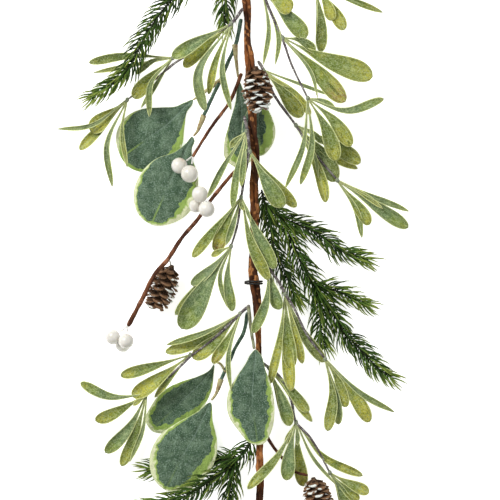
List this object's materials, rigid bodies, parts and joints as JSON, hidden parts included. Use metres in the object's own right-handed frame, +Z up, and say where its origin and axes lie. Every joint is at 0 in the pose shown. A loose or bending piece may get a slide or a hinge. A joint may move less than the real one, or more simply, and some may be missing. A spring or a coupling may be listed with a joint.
{
  "type": "eucalyptus garland",
  "caption": "Mixed garland lying flat: a twisted twig stem with frosted leaf sprays, variegated eucalyptus leaves, pine, white berries and frosted cones.",
  "frame": {"origin": "on the table under the middle of the garland's box", "axes": "+Z up from the table, +Y along the stem towards its upper end, +X to the right looking down on it"},
  "size_m": [0.2848, 0.482, 0.0587],
  "materials": {
    "twig": "rough bark, red brown with paler knots",
    "tie": "dark satin wire",
    "leaf_spray": "sage to olive, dusted with pale frost along rims and veins",
    "gum_leaf": "blue green centre, lime patches and cream rim, fine felted print",
    "gum_stem": "grey green stem with tan sockets",
    "pine": "dark green needles with yellow green tips",
    "berry_twig": "smooth brown twig",
    "berry": "pearly white",
    "cone": "brown scales with frosted white edges"
  },
  "bodies": {
    "root": {"main_twig_1": "twig", "main_twig_2": "twig", "main_twig_3": "twig", "stem_tie": "tie", "berry_end_left": "berry", "berry_end_rear": "berry", "berry_end_right": "berry", "berry_middle_front": "berry", "berry_middle_rear": "berry", "berry_middle_top": "berry", "berry_twig_lower": "berry_twig", "berry_twig_upper": "berry_twig", "berry_upper_left": "berry", "berry_upper_right": "berry", "cone_bottom": "cone", "cone_left": "cone", "cone_stem": "cone", "cone_twig": "berry_twig", "gum_leaf_bottom_left": "gum_leaf", "gum_leaf_front": "gum_leaf", "gum_leaf_left": "gum_leaf", "gum_leaf_lower_left": "gum_leaf", "gum_leaf_rear_left": "gum_leaf", "gum_leaf_rear_right": "gum_leaf", "gum_leaf_upper_left": "gum_leaf", "gum_stem_front": "gum_stem", "gum_stem_lower": "gum_stem", "gum_stem_upper": "gum_stem", "pine_bottom": "pine", "pine_right": "pine", "pine_top": "pine", "pine_top_left": "pine", "spray_bottom_right": "leaf_spray", "spray_centre": "leaf_spray", "spray_lower_left": "leaf_spray", "spray_lower_right": "leaf_spray", "spray_right_rear": "leaf_spray", "spray_top_left": "leaf_spray", "spray_top_right": "leaf_spray", "spray_top_right_rear": "leaf_spray"}
  },
  "joints": []
}
